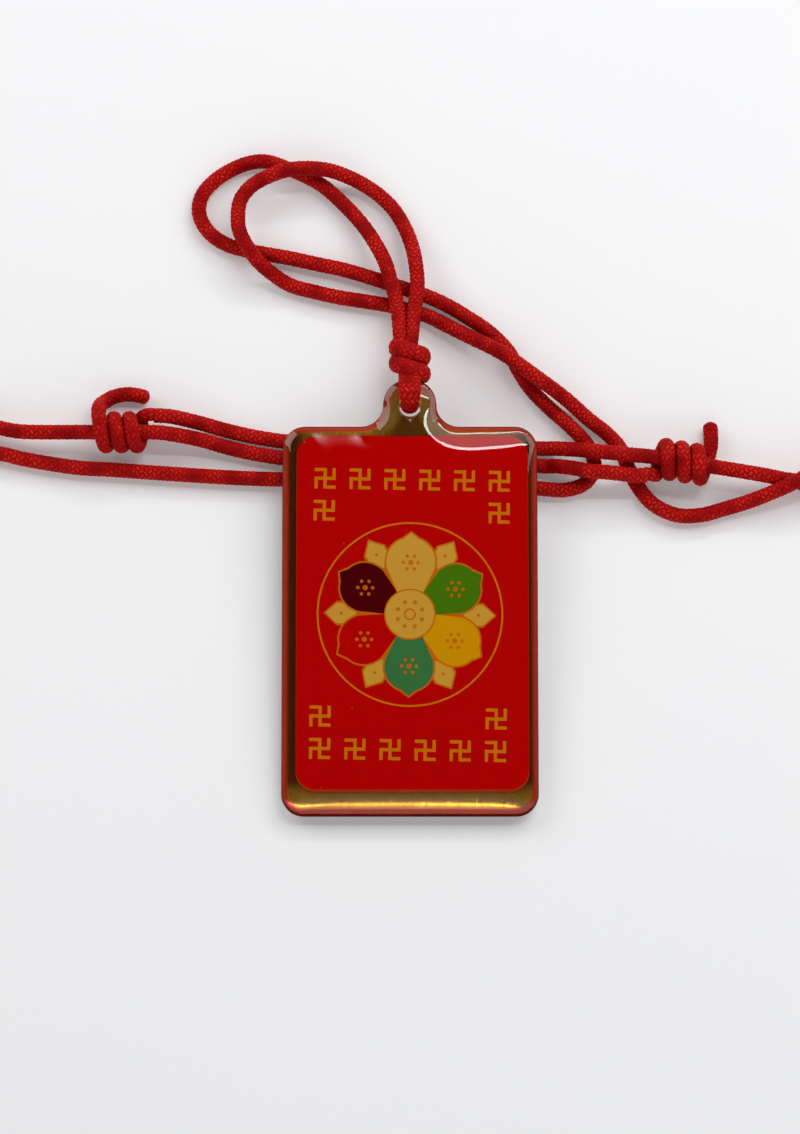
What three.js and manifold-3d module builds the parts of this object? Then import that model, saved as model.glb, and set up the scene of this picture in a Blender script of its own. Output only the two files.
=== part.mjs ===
// Amulet card of brass under clear resin, on a knotted red cord necklace that lies on a table.
// Millimetres, +Z up. The card lies on its back with its ear towards +Y, and its ear end rests
// a little higher, over three strands of the cord. The origin is under the middle of the card.
import * as THREE from 'three';
import { mergeVertices } from 'three/addons/utils/BufferGeometryUtils.js';
import Module from 'manifold-3d';

const wasm = await Module();
wasm.setup();

// Driving dimensions of the card
const cardWidth = 29.5;
const bodyHeight = 45;
const cornerRadius = 2.6;
const earWidth = 6.2;
const earHeight = 5.5; // above the body
const earRadius = 2.8; // of its corners
const earFillet = 2.6;
const holeBelowEarTop = 3.2;
const holeDiameter = 2.4;
const plateThickness = 0.8;

// Printed panels
const filmThickness = 0.1;
const frontPrintWidth = 26.6;
const frontPrintHeight = 41.2;
const frontPrintBottomMargin = 2.8;
const frontPrintSideShift = 0.28; // the print sits a little to the right
const backPrintWidth = 26.4;
const backPrintHeight = 41;
const printCornerRadius = 2.2;
const bondGap = 0.05; // between the layers of the card

// Resin domes
const frontDomeRise = 1.5;
const backDomeRise = 0.9;
const domeEdgeHeight = 0.2; // also the resin on the ear
const domeShoulder = 2;
const domeInset = 0.1;
const resinHoleClearance = 0.1;
const recessClearance = 0.1;

// Cord and knots
const cordDiameter = 1.8;
const passGap = 0.3; // between a strand and one that it passes over
const bightGap = 0.5; // between the ear's resin and the cord through its hole
const meetGap = 0.3; // between the ends of two stretches
const restGap = 0.3; // between the card and the strands under it
const strandsBelowHole = 9.7; // from the hole to the far side of the lowest strand under the card
const mainWrapDiameter = 1.4; // the cord is squeezed in its knots
const mainWrapRadius = 1.7; // of the wraps' own centreline
const mainWrapPitch = 1.75;
const mainWrapTurns = 2;
const mainCoreDiameter = 1.2;
const knotAboveHole = 3.5; // from the hole to the main knot's lower end
const knotTopLevel = 1.3; // height of the main knot's upper end, as in the cord's routes
const sliderWrapDiameter = 1.3;
const sliderWrapRadius = 1.85;
const sliderWrapPitch = 1.8;
const rightSliderTurns = 3;
const leftSliderTurns = 2.5; // it ends on top, where its curled tail starts
const sliderStart = 0.5; // from the end of the overlap to a sliding knot

const overrun = 1; // how far a cutting solid runs past what it cuts
const weldDistance = 0.00001; // points closer than this are one

// Counts
const arcSteps = 10;
const cordSides = 8;
const wrapSides = 6;
const wrapStepsPerTurn = 24;
const shoulderRings = 4;
const curveDivisions = 1200;
const bendSteps = 3;
const bightSteps = 18;

// Worked out from the driving dimensions
const cordRadius = cordDiameter / 2;
const halfPlate = plateThickness / 2;
const halfWidth = cardWidth / 2;
const halfBody = bodyHeight / 2;
const earCorner = Math.min(earRadius, earWidth / 2);
const earCornerY = halfBody + earHeight - earCorner;
const holeY = halfBody + earHeight - holeBelowEarTop;
const leanRun = holeY + halfBody - strandsBelowHole - domeShoulder;
const lean = Math.atan2(cordDiameter + restGap, leanRun);
const mainWrapSlope = mainWrapPitch / (2 * Math.PI * mainWrapRadius);
const mainKnotLength = mainWrapTurns * mainWrapPitch + mainWrapDiameter * (1 + 2 * mainWrapSlope);
const sliderReach = sliderWrapRadius + sliderWrapDiameter / 2 / Math.cos(Math.PI / wrapSides);

const brass = () => new THREE.MeshStandardMaterial({ color: 0xb8862e, metalness: 1, roughness: 0.32 });
const resin = () => new THREE.MeshStandardMaterial({
  color: 0xe8a070, metalness: 0, roughness: 0.05, transparent: true, opacity: 0.35,
});
const print = () => new THREE.MeshStandardMaterial({ color: 0xb80808, metalness: 0, roughness: 0.5 });
const cord = () => new THREE.MeshStandardMaterial({ color: 0xc8101c, metalness: 0, roughness: 0.7 });

// Solids

function solidOf(geometry) {
  const bare = geometry.clone();
  bare.deleteAttribute('normal');
  bare.deleteAttribute('uv');
  const merged = mergeVertices(bare, weldDistance);
  return new wasm.Manifold(new wasm.Mesh({
    numProp: 3,
    vertProperties: new Float32Array(merged.attributes.position.array),
    triVerts: new Uint32Array(merged.index.array),
  }));
}

function geometryOf(solid) {
  const { vertProperties, triVerts } = solid.getMesh();
  const geometry = new THREE.BufferGeometry();
  geometry.setAttribute('position', new THREE.BufferAttribute(new Float32Array(vertProperties), 3));
  geometry.setIndex(new THREE.BufferAttribute(new Uint32Array(triVerts), 1));
  geometry.computeVertexNormals();
  return geometry;
}

function named(name, geometry, material) {
  const mesh = new THREE.Mesh(geometry, material);
  mesh.name = name;
  return mesh;
}

function extruded(shape, depth, bottom) {
  const geometry = new THREE.ExtrudeGeometry(shape, { depth, bevelEnabled: false, curveSegments: arcSteps });
  return geometry.translate(0, 0, bottom);
}

// A closed solid through level rings that all have as many points
function lofted(rings) {
  const count = rings[0].length;
  const positions = rings.flat().flatMap((p) => [p.x, p.y, p.z]);
  const index = [];
  for (let ring = 0; ring < rings.length - 1; ring++) {
    for (let k = 0; k < count; k++) {
      const a = ring * count + k;
      const b = ring * count + ((k + 1) % count);
      index.push(a, b, b + count, a, b + count, a + count);
    }
  }
  const top = (rings.length - 1) * count;
  const outline = rings[0].map((p) => new THREE.Vector2(p.x, p.y));
  for (const [a, b, c] of THREE.ShapeUtils.triangulateShape(outline, [])) {
    index.push(a, c, b, top + a, top + b, top + c);
  }
  const geometry = new THREE.BufferGeometry();
  geometry.setAttribute('position', new THREE.Float32BufferAttribute(positions, 3));
  geometry.setIndex(index);
  return geometry;
}

// Card

function roundedRectangle(halfX, halfY, radius) {
  const shape = new THREE.Shape();
  shape.moveTo(radius - halfX, -halfY);
  shape.lineTo(halfX - radius, -halfY);
  shape.absarc(halfX - radius, radius - halfY, radius, -Math.PI / 2, 0, false);
  shape.lineTo(halfX, halfY - radius);
  shape.absarc(halfX - radius, halfY - radius, radius, 0, Math.PI / 2, false);
  shape.lineTo(radius - halfX, halfY);
  shape.absarc(radius - halfX, halfY - radius, radius, Math.PI / 2, Math.PI, false);
  shape.lineTo(-halfX, radius - halfY);
  shape.absarc(radius - halfX, radius - halfY, radius, Math.PI, 1.5 * Math.PI, false);
  return shape;
}

// The card's outline with its ear, drawn in by inset, and the cord hole
function cardShape(inset, holeRadius) {
  const x = halfWidth - inset;
  const y = halfBody - inset;
  const corner = cornerRadius - inset;
  const ear = earWidth / 2 - inset;
  const earRound = earCorner - inset;
  const fillet = Math.min(earFillet, earHeight - earCorner) + inset;
  const shape = new THREE.Shape();
  shape.moveTo(corner - x, -y);
  shape.lineTo(x - corner, -y);
  shape.absarc(x - corner, corner - y, corner, -Math.PI / 2, 0, false);
  shape.lineTo(x, y - corner);
  shape.absarc(x - corner, y - corner, corner, 0, Math.PI / 2, false);
  shape.lineTo(ear + fillet, y);
  shape.absarc(ear + fillet, y + fillet, fillet, -Math.PI / 2, -Math.PI, true);
  shape.lineTo(ear, earCornerY);
  shape.absarc(ear - earRound, earCornerY, earRound, 0, Math.PI / 2, false);
  shape.lineTo(earRound - ear, earCornerY + earRound);
  shape.absarc(earRound - ear, earCornerY, earRound, Math.PI / 2, Math.PI, false);
  shape.lineTo(-ear, y + fillet);
  shape.absarc(-ear - fillet, y + fillet, fillet, 0, -Math.PI / 2, true);
  shape.lineTo(corner - x, y);
  shape.absarc(corner - x, y - corner, corner, Math.PI / 2, Math.PI, false);
  shape.lineTo(-x, corner - y);
  shape.absarc(corner - x, corner - y, corner, Math.PI, 1.5 * Math.PI, false);
  const hole = new THREE.Path();
  hole.absarc(0, holeY, holeRadius, 0, 2 * Math.PI, true);
  shape.holes.push(hole);
  return shape;
}

function brassPlate() {
  return named('brass_plate', extruded(cardShape(0, holeDiameter / 2), plateThickness, -halfPlate), brass());
}

const frontPrint = {
  width: frontPrintWidth,
  height: frontPrintHeight,
  x: frontPrintSideShift,
  y: frontPrintBottomMargin + frontPrintHeight / 2 - halfBody,
};
const backPrint = { width: backPrintWidth, height: backPrintHeight, x: 0, y: 0 };

function printPanel(name, panel) {
  const shape = roundedRectangle(panel.width / 2, panel.height / 2, printCornerRadius);
  return named(name, extruded(shape, filmThickness, 0).translate(panel.x, panel.y, 0), print());
}

// Clear resin over one face: a thin skirt over the whole outline with the ear, and over the body
// a plateau with a rounded shoulder. Its underside has a shallow recess for the printed film.
function resinDome(name, rise, panel) {
  const skirt = extruded(cardShape(domeInset, holeDiameter / 2 + resinHoleClearance), domeEdgeHeight, 0);
  const rings = [0, ...Array(shoulderRings + 1).keys()].map((step, k) => {
    const angle = (step / shoulderRings) * (Math.PI / 2);
    const inset = domeInset + domeShoulder * (1 - Math.cos(angle));
    const level = k === 0 ? 0 : domeEdgeHeight + (rise - domeEdgeHeight) * Math.sin(angle);
    const ring = roundedRectangle(halfWidth - inset, halfBody - inset, cornerRadius - inset);
    return ring.getPoints(arcSteps).slice(0, -1).map((p) => new THREE.Vector3(p.x, p.y, level));
  });
  const depth = filmThickness + bondGap;
  const recess = roundedRectangle(
    panel.width / 2 + recessClearance, panel.height / 2 + recessClearance, printCornerRadius,
  );
  const cut = extruded(recess, depth + overrun, -overrun).translate(panel.x, panel.y, 0);
  const solid = solidOf(skirt).add(solidOf(lofted(rings))).subtract(solidOf(cut));
  return named(name, geometryOf(solid), resin());
}

// The card as it is held in the hand, face up, before it leans
function card() {
  const group = new THREE.Group();
  group.add(brassPlate());
  const front = new THREE.Group();
  front.position.z = halfPlate + bondGap;
  front.add(printPanel('front_print_panel', frontPrint));
  front.add(resinDome('front_resin_dome', frontDomeRise, frontPrint));
  const back = new THREE.Group();
  back.position.z = -halfPlate - bondGap;
  back.rotation.y = Math.PI;
  back.add(printPanel('back_print_panel', backPrint));
  back.add(resinDome('back_resin_dome', backDomeRise, backPrint));
  group.add(front, back);
  return group;
}

const leaningCard = card();
leaningCard.rotation.x = lean;
leaningCard.updateMatrixWorld(true);
const leaningBox = new THREE.Box3().setFromObject(leaningCard, true);
leaningCard.position.y = -(leaningBox.min.y + leaningBox.max.y) / 2;
leaningCard.position.z = -leaningBox.min.z;
leaningCard.updateMatrixWorld(true);
const hole = leaningCard.localToWorld(new THREE.Vector3(0, holeY, 0));

// Cord
// A route's points are [x, y, level]: x and y from the cord hole's middle, and level 0 on the table
// or 1 where the strand passes over another.

const outerLoop = [
  [-1.25, 9.2, 1.28], [-1.45, 11, 1.1], [-1.6, 13.2, 1], [-2.2, 15.3, 1], [-2.9, 17.8, 0.9],
  [-4.3, 20.7, 0.55], [-6, 23.3, 0.2], [-8.1, 25.7, 0], [-10.2, 27.6, 0], [-12.4, 28.9, 0],
  [-14.5, 29.8, 0], [-16.8, 30.6, 0], [-18.8, 30.5, 0], [-20.9, 29.7, 0], [-22.9, 28.4, 0],
  [-24.4, 26.7, 0], [-24.9, 24.8, 0], [-24.4, 23, 0], [-23.2, 21.5, 0], [-21.4, 20.4, 0],
  [-19.4, 19.8, 0], [-16.9, 19.3, 0], [-14.1, 18.8, 0], [-11, 18.1, 0], [-7.8, 17.4, 0],
  [-4.8, 16.5, 0], [-1.5, 15.4, 0], [1.7, 14.3, 0], [4.5, 13, 0], [7.1, 11.4, 0],
  [9.1, 10, 0], [10.6, 8.6, 0], [11.8, 7.1, 0],
];
const outerDescent = [
  [11.8, 7.1, 0], [12.8, 5.1, 0], [14.3, 2.8, 0], [16.4, 0.6, 0], [18.8, -1.6, 0], [20.8, -3.9, 0],
  [21.5, -6.3, 0], [20.4, -8.3, 0], [18.2, -9.1, 0], [15.7, -9, 0],
];
const outerUnderCard = [
  [15.7, -9, 0], [12.8, -8.6, 0], [5.9, -8, 0], [-3.5, -7.9, 0], [-12.8, -7.9, 0], [-19.8, -7.7, 0],
  [-27.9, -7.2, 0], [-34.9, -6.7, 0], [-38.4, -6.5, 0], [-41.9, -6, 0], [-45.2, -5.4, 0], [-47.8, -4.8, 0],
];
const outerLeftBight = [
  [-47.8, -4.8, 0], [-50.6, -4.8, 0], [-53.6, -5.7, 0], [-56.9, -6.3, 0], [-59.9, -5.1, 0],
  [-61.4, -2.4, 0], [-60.3, 0.3, 0], [-57.5, 1.8, 0], [-54.5, 1.5, 0], [-51.6, -0.1, 0.1],
  [-48.7, -1.6, 0.35], [-45.8, -2.4, 0.65], [-43, -2.6, 0.8], [-39.5, -2.6, 0.8], [-36, -2.6, 0.8],
  [-30.2, -2.6, 0.8],
];
const outerOverlap = [
  [-30.2, -2.6, 0.8], [-27.7, -2.8, 0.7], [-24.4, -3.3, 0.35], [-21.2, -4.1, 0.05], [-17.5, -4.9, 0],
  [-12.8, -5.5, 0], [-3.5, -5.9, 0], [5.9, -6, 0], [12.9, -6.1, 0], [15.8, -6.3, 0],
  [17, -6.4, 0.25], [18.8, -6.9, 0.9], [20.7, -7.4, 1.25], [23.2, -7.6, 1.2], [25.8, -7.8, 1],
  [27.6, -7.8, 0.85],
];
const innerLoop = [
  [0.95, 9.2, 1.28], [0.75, 11, 1.1], [0.7, 13.2, 1], [0.9, 15.3, 1], [0.7, 17.6, 0.9],
  [0.3, 19.8, 0.55], [-0.5, 22.2, 0.2], [-1.8, 24.6, 0], [-3.5, 26.4, 0], [-5.4, 27.7, 0.1],
  [-7.5, 28.6, 0.4], [-9.7, 29.1, 0.8], [-12.1, 29.2, 1], [-14.3, 29, 1], [-16.6, 28.3, 0.85],
  [-18.6, 27.2, 0.75], [-19.9, 25.5, 0.75], [-20.2, 23.5, 0.8], [-20, 21.6, 0.95], [-19.1, 19.7, 1],
  [-17.8, 18, 0.75], [-16.1, 16.7, 0.3], [-14, 15.5, 0], [-11.2, 14.7, 0], [-8.1, 14, 0],
  [-5, 13.5, 0], [-1.7, 12.9, 0], [1.8, 11.9, 0], [4.5, 10.5, 0.1], [7.1, 9, 0.4],
  [9.3, 7.7, 0.8], [11.5, 6.3, 1], [13.7, 4.7, 1], [15.9, 3.1, 0.9], [18.3, 1.5, 0.4], [20.8, -0.6, 0],
];
const innerRightBight = [
  [20.8, -0.6, 0], [22.9, -2.3, 0], [24.5, -4.1, 0], [25.4, -6.3, 0], [26.5, -8.6, 0],
  [28.3, -10.8, 0], [31, -12.1, 0], [33.9, -12.1, 0], [36.5, -11.4, 0], [39.6, -10.5, 0.15],
  [42.5, -9.5, 0.6], [45.1, -8.4, 1], [47.8, -6.7, 1], [50.7, -4.5, 0.6], [53.9, -3.2, 0.15],
  [56.9, -3.7, 0], [58.7, -6, 0], [58.7, -9.1, 0], [56.8, -11.6, 0], [53.7, -12.6, 0],
  [50.7, -11.6, 0], [48, -9.8, 0], [45.4, -8.2, 0], [43.6, -7.9, 0.15], [41.6, -7.7, 0.6],
  [39.5, -7.42, 0.8], [37, -7, 0.8], [34, -6.51, 0.8], [31, -6.01, 0.8], [27.9, -5.5, 0.8],
];
const innerOverlap = [
  [27.9, -5.5, 0.8], [25.8, -5.4, 1], [23.2, -5.2, 1.2], [20.7, -5, 1.25], [18.9, -4.7, 0.9],
  [17, -4.3, 0.25], [15.8, -4.2, 0], [12.9, -4.1, 0], [5.9, -4, 0], [-3.5, -3.9, 0], [-12.8, -3.5, 0],
  [-17.5, -2.9, 0], [-21.2, -2.1, 0.05], [-24.5, -1.3, 0.35], [-27.7, -0.7, 0.7], [-30, -0.6, 0.8],
];

// A curve that never dips into the table, and whose cross-section stays upright, so that a lying cord
// keeps a flat underneath
class LyingCurve extends THREE.CatmullRomCurve3 {
  getPoint(share, target) {
    const point = super.getPoint(share, target);
    point.z = Math.max(point.z, cordRadius);
    return point;
  }

  computeFrenetFrames(segments) {
    const up = new THREE.Vector3(0, 0, 1);
    const frames = { tangents: [], normals: [], binormals: [] };
    for (let k = 0; k <= segments; k++) {
      const tangent = this.getTangentAt(k / segments).normalize();
      const normal = new THREE.Vector3().crossVectors(up, tangent).normalize();
      frames.tangents.push(tangent);
      frames.normals.push(normal);
      frames.binormals.push(new THREE.Vector3().crossVectors(tangent, normal));
    }
    return frames;
  }
}

// A regular section whose flats lie half a diameter from its middle
function cordSection(diameter, sides) {
  const reach = diameter / 2 / Math.cos(Math.PI / sides);
  const points = [];
  for (let k = 0; k < sides; k++) {
    const angle = ((k + 0.5) / sides) * 2 * Math.PI;
    points.push(new THREE.Vector2(reach * Math.cos(angle), reach * Math.sin(angle)));
  }
  return new THREE.Shape(points);
}

function tubeAlong(curve, diameter, sides, steps) {
  curve.arcLengthDivisions = curveDivisions;
  return new THREE.ExtrudeGeometry(cordSection(diameter, sides), {
    extrudePath: curve, steps, bevelEnabled: false,
  });
}

function placed([x, y, level]) {
  return new THREE.Vector3(hole.x + x, hole.y + y, cordRadius + level * (cordDiameter + passGap));
}

// One stretch of the cord, shortened at both ends so that it stays clear of what it meets
function strand(name, route, steps, startGap = meetGap / 2, endGap = meetGap / 2) {
  const points = route.map(placed);
  const last = points.length - 1;
  const start = points[1].clone().sub(points[0]).setLength(startGap);
  const end = points[last - 1].clone().sub(points[last]).setLength(endGap);
  points[0].add(start);
  points[last].add(end);
  return named(name, tubeAlong(new LyingCurve(points), cordDiameter, cordSides, steps), cord());
}

// The least gap between the turns of a winding, on its own points
function leastGap(points, diameter, perTurn) {
  let least = Infinity;
  for (let i = 0; i < points.length; i++) {
    for (let j = i + Math.round(perTurn / 2); j < points.length; j++) {
      least = Math.min(least, points[i].distanceTo(points[j]) - diameter);
    }
  }
  return least;
}

// Turns round the X axis, from x = 0 towards +X, on a slope that also carries its straight start.
// It starts under the axis, from the -Y side, and the tail's points go on after its last turn.
function windingPoints({ radius, pitch, turns, diameter, tail }) {
  const slope = pitch / (2 * Math.PI * radius);
  const points = [diameter, diameter / 2].map((run) => new THREE.Vector3(-slope * run, -run, -radius));
  for (let k = 0; k <= turns * wrapStepsPerTurn; k++) {
    const turn = k / wrapStepsPerTurn;
    const angle = turn * 2 * Math.PI;
    points.push(new THREE.Vector3(pitch * turn, radius * Math.sin(angle), -radius * Math.cos(angle)));
  }
  return points.concat(tail.map(([x, y, z]) => new THREE.Vector3(pitch * turns + x, y, z)));
}

function winding(name, spec) {
  const points = windingPoints(spec);
  const gap = leastGap(points, spec.diameter, wrapStepsPerTurn);
  console.log(`${name}: least gap to itself ${gap.toFixed(2)} mm`);
  const curve = new THREE.CatmullRomCurve3(points);
  return named(name, tubeAlong(curve, spec.diameter, wrapSides, points.length - 1), cord());
}

// Main knot: two wraps round the squeezed core. It follows on from the card's plane at its lower end,
// and leaves the strands at the height where they pass over the returning ones.
function mainKnot() {
  const low = leaningCard.localToWorld(new THREE.Vector3(0, holeY + knotAboveHole, 0));
  const high = new THREE.Vector3(hole.x, low.y + mainKnotLength, placed([0, 0, knotTopLevel]).z);
  const group = new THREE.Group();
  const wraps = winding('main_knot_wraps', {
    radius: mainWrapRadius,
    pitch: mainWrapPitch,
    turns: mainWrapTurns,
    diameter: mainWrapDiameter,
    tail: [0.5, 1].map((share) => {
      const run = share * mainWrapDiameter;
      return [mainWrapSlope * run, run, -mainWrapRadius];
    }),
  });
  wraps.position.x = mainWrapDiameter * (0.5 + mainWrapSlope);
  const core = named('main_knot_core', new THREE.CylinderGeometry(
    mainCoreDiameter / 2, mainCoreDiameter / 2, mainKnotLength, cordSides,
  ), cord());
  core.rotation.z = Math.PI / 2;
  core.position.x = mainKnotLength / 2;
  group.add(wraps, core);
  group.position.copy(low);
  group.quaternion.setFromUnitVectors(new THREE.Vector3(1, 0, 0), high.clone().sub(low).normalize());
  return group;
}

// The bight: over the ear, down through the hole and back under the ear, in the leaning card's frame
function holeBight() {
  const face = halfPlate + bondGap + domeEdgeHeight;
  const leg = face + bightGap + cordRadius;
  const turn = holeDiameter / 2;
  const end = knotAboveHole - 2 * meetGap; // the knot leans back over the rear leg
  const half = [[end, leg], [(end + turn) / 2, leg], [turn, leg]];
  for (let k = bendSteps - 1; k >= 0; k--) {
    const angle = (k / bendSteps) * (Math.PI / 2);
    half.push([turn * (1 - Math.cos(angle)), face + (leg - face) * Math.sin(angle)]);
  }
  const other = half.slice().reverse().map(([y, z]) => [y, -z]);
  const points = [...half, [0, 0], ...other].map(([y, z]) => new THREE.Vector3(0, holeY + y, z));
  const curve = new THREE.CatmullRomCurve3(points);
  const bight = named('hole_bight', tubeAlong(curve, cordDiameter, cordSides, bightSteps), cord());
  bight.rotation.copy(leaningCard.rotation);
  bight.position.copy(leaningCard.position);
  return bight;
}

// A sliding knot: wraps round the strand that runs through it, on the line between two places
function slidingKnot(name, [from, towards], turns, tail) {
  const knot = winding(name, {
    radius: sliderWrapRadius,
    pitch: sliderWrapPitch,
    turns,
    diameter: sliderWrapDiameter,
    tail,
  });
  const start = placed(from);
  const way = placed(towards).sub(start);
  start.z = sliderReach;
  start.addScaledVector(way.clone().normalize(), sliderStart + sliderWrapDiameter / 2);
  knot.position.copy(start);
  knot.rotation.z = Math.atan2(way.y, way.x);
  return knot;
}

// Where the strand runs straight through each sliding knot, from its start
const rightSliderWay = [[27.9, -5.5, 0.8], [37, -7, 0.8]];
const leftSliderWay = [[-30.2, -2.6, 0.8], [-39.5, -2.6, 0.8]];

// The sliding knots' tails, from the last turn of their wraps
const tableLevel = -sliderWrapRadius;
const rightTail = [
  [0.2, 1.3, tableLevel], [0.3, 2.8, tableLevel], [0.1, 4.2, tableLevel], [-0.2, 5.6, tableLevel],
];
const leftTail = [
  [0.2, -1.2, 1.8], [0.3, -2.4, 1.1], [0.2, -3.3, -0.2], [-0.3, -4, -1.4], [-1.2, -4.6, tableLevel],
  [-2.6, -4.9, tableLevel], [-4, -4.8, tableLevel], [-5.4, -4.4, tableLevel],
];

const pendant = new THREE.Group();
pendant.add(leaningCard, mainKnot(), holeBight());
pendant.add(slidingKnot('right_sliding_knot', rightSliderWay, rightSliderTurns, rightTail));
pendant.add(slidingKnot('left_sliding_knot', leftSliderWay, leftSliderTurns, leftTail));
pendant.add(strand('outer_strand_loop', outerLoop, 19));
pendant.add(strand('outer_strand_descent', outerDescent, 6));
pendant.add(strand('outer_strand_under_card', outerUnderCard, 5));
pendant.add(strand('outer_strand_left_bight', outerLeftBight, 12));
pendant.add(strand('outer_strand_overlap', outerOverlap, 11));
pendant.add(strand('inner_strand_loop', innerLoop, 20));
pendant.add(strand('inner_strand_right_bight', innerRightBight, 17));
pendant.add(strand('inner_strand_overlap', innerOverlap, 11));

export default pendant;
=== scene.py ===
"""Amulet card of brass under clear resin, on a knotted red cord that lies on a pale floor."""

import math

import bmesh
import bpy
import numpy as np
from mathutils import Matrix, Vector


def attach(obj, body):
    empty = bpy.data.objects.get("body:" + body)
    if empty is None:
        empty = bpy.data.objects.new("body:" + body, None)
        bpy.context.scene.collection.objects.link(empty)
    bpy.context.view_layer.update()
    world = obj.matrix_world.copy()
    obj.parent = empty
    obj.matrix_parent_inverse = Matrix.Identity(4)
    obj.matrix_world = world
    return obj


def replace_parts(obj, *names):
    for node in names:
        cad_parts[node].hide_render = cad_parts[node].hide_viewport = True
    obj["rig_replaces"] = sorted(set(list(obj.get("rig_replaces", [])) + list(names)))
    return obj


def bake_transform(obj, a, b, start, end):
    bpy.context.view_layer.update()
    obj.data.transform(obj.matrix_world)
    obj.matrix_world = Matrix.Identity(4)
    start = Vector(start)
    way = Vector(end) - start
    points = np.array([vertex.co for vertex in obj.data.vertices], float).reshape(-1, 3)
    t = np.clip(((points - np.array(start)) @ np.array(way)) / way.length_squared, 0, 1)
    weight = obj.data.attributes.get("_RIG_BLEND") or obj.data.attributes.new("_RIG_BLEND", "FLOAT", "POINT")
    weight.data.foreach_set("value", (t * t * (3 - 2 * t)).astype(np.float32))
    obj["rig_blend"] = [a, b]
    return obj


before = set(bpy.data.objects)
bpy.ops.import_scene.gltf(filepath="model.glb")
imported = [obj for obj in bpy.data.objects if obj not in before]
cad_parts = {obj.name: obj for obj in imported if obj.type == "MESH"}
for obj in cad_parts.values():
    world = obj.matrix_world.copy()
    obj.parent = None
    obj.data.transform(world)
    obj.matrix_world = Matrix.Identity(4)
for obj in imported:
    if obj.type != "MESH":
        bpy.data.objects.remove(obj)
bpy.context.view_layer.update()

# Camera: it looks down on the card from its lower end, nearly upright, with a long lens,
# so that the card keeps its straight sides.
camera_target = Vector((-0.00114, 0.00369, 0.0025))
camera_distance = 0.45
camera_elevation = math.radians(79)
lens, sensor_width = 123.6, 36  # millimetres
camera = bpy.data.objects.new("camera", bpy.data.cameras.new("camera"))
camera.data.lens, camera.data.sensor_width = lens, sensor_width
camera_back = Vector((0, -math.cos(camera_elevation), math.sin(camera_elevation)))
camera.location = camera_target + camera_distance * camera_back
camera.rotation_euler = (-camera_back).to_track_quat("-Z", "Y").to_euler()
bpy.context.scene.collection.objects.link(camera)
bpy.context.scene.camera = camera


# Necklace cord: polyester knotting cord, sixteen yarns braided round a core. It lies in two
# strands that cross themselves on the floor, pass under the card and end in each other's knots.
cord_radius = 0.0009
cord_step = 0.00011  # between the rings of the mesh
cord_sides = 32
yarns_each_way = 8
braid_cell = 0.0005  # along the cord, from one yarn of a way to the next
braid_depth = 0.00012
braid_fade = 1.4  # the relief shrinks where a half width is under the cord's radius over this
yarn_low, yarn_rise = 0.4, 0.6  # height of a yarn at the ends of its float, and what its middle adds
knot_entry = 0.0052  # over this length a strand is squeezed into the main knot
squeezed_radius = 0.00084
curve_steps = 24  # from one point of a route to the next

# The routes hold places on the cord's centre line, in metres, from the main knot on.
outer_route = [
    (-.001, .02926, .00398), (-.00115, .03036, .00386), (-.0012, .03146, .00369),
    (-.0013, .03326, .00325), (-.0016, .03546, .003), (-.0022, .03756, .003), (-.0029, .04006, .00279),
    (-.0043, .04296, .00205), (-.006, .04556, .00132), (-.0081, .04796, .0009), (-.0102, .04986, .0009),
    (-.0124, .05116, .0009), (-.0145, .05206, .0009), (-.0168, .05286, .0009), (-.0188, .05276, .0009),
    (-.0209, .05196, .0009), (-.0229, .05066, .0009), (-.0244, .04896, .0009), (-.0249, .04706, .0009),
    (-.0244, .04526, .0009), (-.0232, .04376, .0009), (-.0214, .04266, .0009), (-.0194, .04206, .0009),
    (-.0169, .04156, .0009), (-.0141, .04106, .0009), (-.011, .04036, .0009), (-.0078, .03966, .0009),
    (-.0048, .03876, .0009), (-.0015, .03766, .0009), (.0017, .03656, .0009), (.0045, .03526, .0009),
    (.0071, .03366, .0009), (.0091, .03226, .0009), (.0106, .03086, .0009), (.0118, .02936, .0009),
    (.0128, .02736, .0009), (.0143, .02506, .0009), (.0164, .02286, .0009), (.0188, .02066, .0009),
    (.0208, .01836, .0009), (.0215, .01596, .0009), (.0204, .01396, .0009), (.0182, .01316, .0009),
    (.0157, .01326, .0009), (.0128, .01366, .0009), (.0059, .01426, .0009), (-.0035, .01436, .0009),
    (-.0128, .01436, .0009), (-.0198, .01456, .0009), (-.0279, .01506, .0009), (-.0349, .01556, .0009),
    (-.0384, .01576, .0009), (-.0419, .01626, .0009), (-.0452, .01686, .0009), (-.0478, .01746, .0009),
    (-.0506, .01746, .0009), (-.0536, .01656, .0009), (-.0569, .01596, .0009), (-.0599, .01716, .0009),
    (-.0614, .01986, .0009), (-.0603, .02256, .0009), (-.0575, .02406, .0009), (-.0545, .02376, .0009),
    (-.0516, .02216, .00111), (-.0487, .02066, .00163), (-.0458, .01986, .00227), (-.043, .01966, .00258),
    (-.0395, .01966, .00258), (-.036, .01966, .00258), (-.0302, .01966, .00258), (-.0277, .01946, .00237),
    (-.0244, .01896, .00163), (-.0212, .01816, .00101), (-.0175, .01736, .0009), (-.0128, .01676, .0009),
    (-.0035, .01636, .0009), (.0059, .01626, .0009), (.0129, .01616, .0009), (.0158, .01596, .0009),
    (.017, .01586, .00143), (.0188, .01536, .00279), (.0207, .01486, .00352), (.0232, .01466, .00342),
    (.0258, .01446, .003), (.0275, .01446, .0027),
]
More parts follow.
